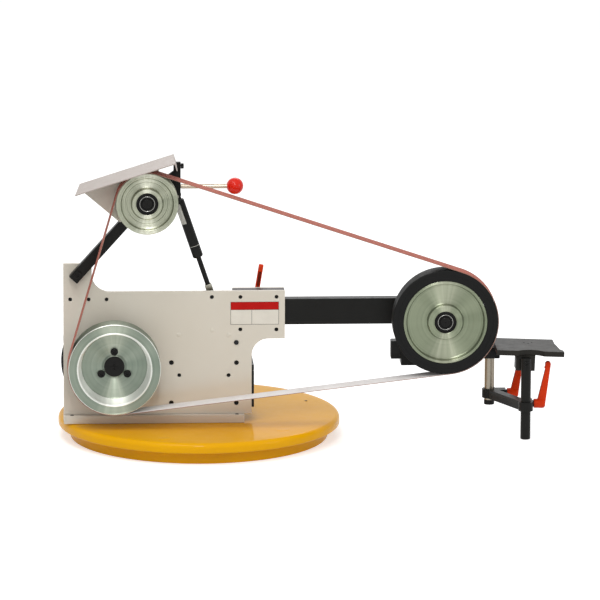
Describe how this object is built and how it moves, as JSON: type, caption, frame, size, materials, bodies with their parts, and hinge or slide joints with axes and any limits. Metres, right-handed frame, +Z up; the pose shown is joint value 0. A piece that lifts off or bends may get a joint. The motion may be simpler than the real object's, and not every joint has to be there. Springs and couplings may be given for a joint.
{
  "type": "belt grinder",
  "caption": "Abrasive belt grinder: a side plate on a round swivel base carries a driven wheel, a sprung tracking wheel, a sliding arm with a contact wheel, and a tool rest.",
  "frame": {"origin": "on the floor, on the axis of the swivel base", "axes": "+Z up, +X from the drive wheel towards the contact wheel, -Y towards the wheels' side"},
  "size_m": [0.9549, 0.54, 0.565],
  "materials": {
    "base_disc": "gloss enamel",
    "swivel_ring_lower": "machined",
    "swivel_pin": "machined",
    "turntable": "gloss enamel",
    "turntable_plug": "gloss enamel",
    "swivel_ring_upper": "machined",
    "side_plate": "satin enamel",
    "foot_bar": "satin enamel",
    "gusset_left": "satin enamel",
    "gusset_middle": "satin enamel",
    "receiver_top_bar": "satin",
    "receiver_bottom_bar": "satin",
    "receiver_back_plate": "satin enamel",
    "motor_flange": "satin",
    "motor_housing": "satin",
    "motor_fan_cover": "satin",
    "motor_rotor": "machined",
    "control_box": "moulded",
    "control_box_lid": "moulded",
    "stop_button": "moulded",
    "start_button": "moulded",
    "pivot_bolt": "blackened",
    "pivot_washer": "zinc plated",
    "gas_lower_stud": "zinc plated",
    "abrasive_belt": "coated abrasive cloth",
    "drive_wheel": "turned",
    "drive_cap": "blackened",
    "slide_arm": "satin",
    "contact_axle": "blackened",
    "rest_bracket": "satin",
    "contact_wheel_hub": "turned",
    "contact_wheel_tyre": "ground rubber",
    "contact_bearing": "sealed bearing",
    "arm_lock_lever": "moulded",
    "rest_bar": "satin",
    "rest_head": "satin",
    "rest_rear_post": "drawn bar",
    "rest_link": "satin",
    "rest_lever_rear": "moulded",
    "rest_lever_front": "moulded",
    "rest_front_post": "blackened",
    "tilt_screw": "blackened",
    "tool_rest": "worn black",
    "rest_block": "satin",
    "tension_bar": "satin",
    "hood": "satin enamel",
    "hood_cheek": "satin enamel",
    "lever_bracket": "satin",
    "tension_handle": "drawn bar",
    "ball_knob": "polished",
    "gas_top_stud": "zinc plated",
    "tracking_axle": "blackened",
    "tracking_screw": "blackened",
    "tracking_wheel": "turned",
    "tracking_bearing": "sealed bearing",
    "gas_spring_cylinder": "gloss",
    "gas_spring_rod": "ground rod, zinc fitting"
  },
  "bodies": {
    "base": {"base_disc": "base_disc", "swivel_ring_lower": "swivel_ring_lower", "swivel_pin": "swivel_pin"},
    "frame": {"turntable": "turntable", "turntable_plug": "turntable_plug", "swivel_ring_upper": "swivel_ring_upper", "foot_bar": "foot_bar", "side_plate": "side_plate", "gusset_left": "gusset_left", "gusset_middle": "gusset_middle", "receiver_top_bar": "receiver_top_bar", "receiver_bottom_bar": "receiver_bottom_bar", "receiver_back_plate": "receiver_back_plate", "motor_flange": "motor_flange", "motor_housing": "motor_housing", "motor_fan_cover": "motor_fan_cover", "control_box": "control_box", "control_box_lid": "control_box_lid", "pivot_bolt": "pivot_bolt", "pivot_washer": "pivot_washer", "gas_lower_stud": "gas_lower_stud", "abrasive_belt": "abrasive_belt"},
    "stop_button": {"stop_button": "stop_button"},
    "start_button": {"start_button": "start_button"},
    "drive": {"drive_wheel": "drive_wheel", "drive_cap": "drive_cap", "motor_rotor": "motor_rotor"},
    "arm": {"slide_arm": "slide_arm", "contact_axle": "contact_axle", "rest_bracket": "rest_bracket"},
    "contact_wheel": {"contact_wheel_hub": "contact_wheel_hub", "contact_wheel_tyre": "contact_wheel_tyre", "contact_bearing": "contact_bearing"},
    "arm_lock": {"arm_lock_lever": "arm_lock_lever"},
    "rest_slide": {"rest_bar": "rest_bar", "rest_head": "rest_head", "rest_rear_post": "rest_rear_post"},
    "rest_link": {"rest_link": "rest_link"},
    "rest_lever_rear": {"rest_lever_rear": "rest_lever_rear"},
    "rest_lever_front": {"rest_lever_front": "rest_lever_front"},
    "front_post": {"rest_front_post": "rest_front_post", "tilt_screw": "tilt_screw"},
    "rest_top": {"tool_rest": "tool_rest", "rest_block": "rest_block"},
    "tension_arm": {"tension_bar": "tension_bar", "hood": "hood", "hood_cheek": "hood_cheek", "lever_bracket": "lever_bracket", "tension_handle": "tension_handle", "ball_knob": "ball_knob", "gas_top_stud": "gas_top_stud", "tracking_axle": "tracking_axle"},
    "tracking_screw": {"tracking_screw": "tracking_screw"},
    "tracking_wheel": {"tracking_wheel": "tracking_wheel", "tracking_bearing": "tracking_bearing"},
    "gas_cylinder": {"gas_spring_cylinder": "gas_spring_cylinder"},
    "gas_rod": {"gas_spring_rod": "gas_spring_rod"}
  },
  "joints": [
    {"name": "swivel", "type": "hinge", "parent": "base", "child": "frame", "pos_m": [0, 0, 0], "axis": [0, 0, 1], "continuous": true},
    {"name": "stop_press", "type": "slide", "parent": "frame", "child": "stop_button", "axis": [0, -1, 0], "range_m": [0, 0.003], "stiffness_N_per_m": 400, "springref_m": -0.002},
    {"name": "start_press", "type": "slide", "parent": "frame", "child": "start_button", "axis": [0, -1, 0], "range_m": [0, 0.003], "stiffness_N_per_m": 400, "springref_m": -0.002},
    {"name": "drive_spin", "type": "hinge", "parent": "frame", "child": "drive", "pos_m": [-0.1655, -0.139, 0.1627], "axis": [0, 1, 0], "continuous": true},
    {"name": "arm_slide", "type": "slide", "parent": "frame", "child": "arm", "axis": [1, 0, 0], "range_m": [-0.01, 0.05], "deforming": ["abrasive_belt"]},
    {"name": "contact_wheel_spin", "type": "hinge", "parent": "arm", "child": "contact_wheel", "pos_m": [0.461, -0.139, 0.25], "axis": [0, 1, 0], "continuous": true},
    {"name": "arm_lock_turn", "type": "hinge", "parent": "frame", "child": "arm_lock", "pos_m": [0.104, -0.049, 0.256], "axis": [0, 1, 0], "range_deg": [-20, 90]},
    {"name": "rest_slide", "type": "slide", "parent": "arm", "child": "rest_slide", "axis": [1, 0, 0], "range_m": [-0.005, 0.035]},
    {"name": "rest_link_swing", "type": "hinge", "parent": "rest_slide", "child": "rest_link", "pos_m": [0.553, -0.07, 0.084], "axis": [0, 0, 1], "range_deg": [0, 60]},
    {"name": "rest_lever_rear_turn", "type": "hinge", "parent": "rest_link", "child": "rest_lever_rear", "pos_m": [0.5855, -0.07, 0.09275], "axis": [1, 0, 0], "range_deg": [-60, 60]},
    {"name": "rest_lever_front_turn", "type": "hinge", "parent": "rest_link", "child": "rest_lever_front", "pos_m": [0.628, -0.1635, 0.09275], "axis": [1, 0, 0], "range_deg": [-60, 80]},
    {"name": "front_post_slide", "type": "slide", "parent": "rest_link", "child": "front_post", "axis": [0, 0, 1], "range_m": [-0.003, 0.008]},
    {"name": "tool_rest_tilt", "type": "hinge", "parent": "front_post", "child": "rest_top", "pos_m": [0.6125, -0.186, 0.176], "axis": [0, 1, 0], "range_deg": [-3.5, 15]},
    {"name": "tension_swing", "type": "hinge", "parent": "frame", "child": "tension_arm", "pos_m": [-0.2335, -0.0922, 0.3365], "axis": [0, 1, 0], "range_deg": [0, 12], "stiffness_Nm_per_rad": 20, "springref_deg": -34.38, "deforming": ["abrasive_belt"]},
    {"name": "tracking_screw_turn", "type": "hinge", "parent": "tension_arm", "child": "tracking_screw", "pos_m": [-0.0385, -0.0879, 0.541], "axis": [1, 0, 0], "range_deg": [-180, 180]},
    {"name": "tracking_wheel_spin", "type": "hinge", "parent": "tension_arm", "child": "tracking_wheel", "pos_m": [-0.1035, -0.139, 0.4815], "axis": [0, 1, 0], "continuous": true},
    {"name": "gas_spring_swing", "type": "hinge", "parent": "tension_arm", "child": "gas_cylinder", "pos_m": [-0.0452, -0.066, 0.482], "axis": [0, 1, 0], "range_deg": [-9, 0.5]},
    {"name": "gas_spring_stroke", "type": "slide", "parent": "gas_cylinder", "child": "gas_rod", "axis": [0.3225, 0, -0.9466], "range_m": [-0.05, 0.001]}
  ],
  "couplings": [
    {"joint": "contact_wheel_spin", "follows": "drive_spin", "ratio": 0.875},
    {"joint": "tracking_wheel_spin", "follows": "drive_spin", "ratio": 1.4957},
    {"joint": "gas_spring_swing", "follows": "tension_swing", "ratio": -0.6635},
    {"joint": "gas_spring_stroke", "follows": "tension_swing", "m_per_rad": -0.2297}
  ]
}
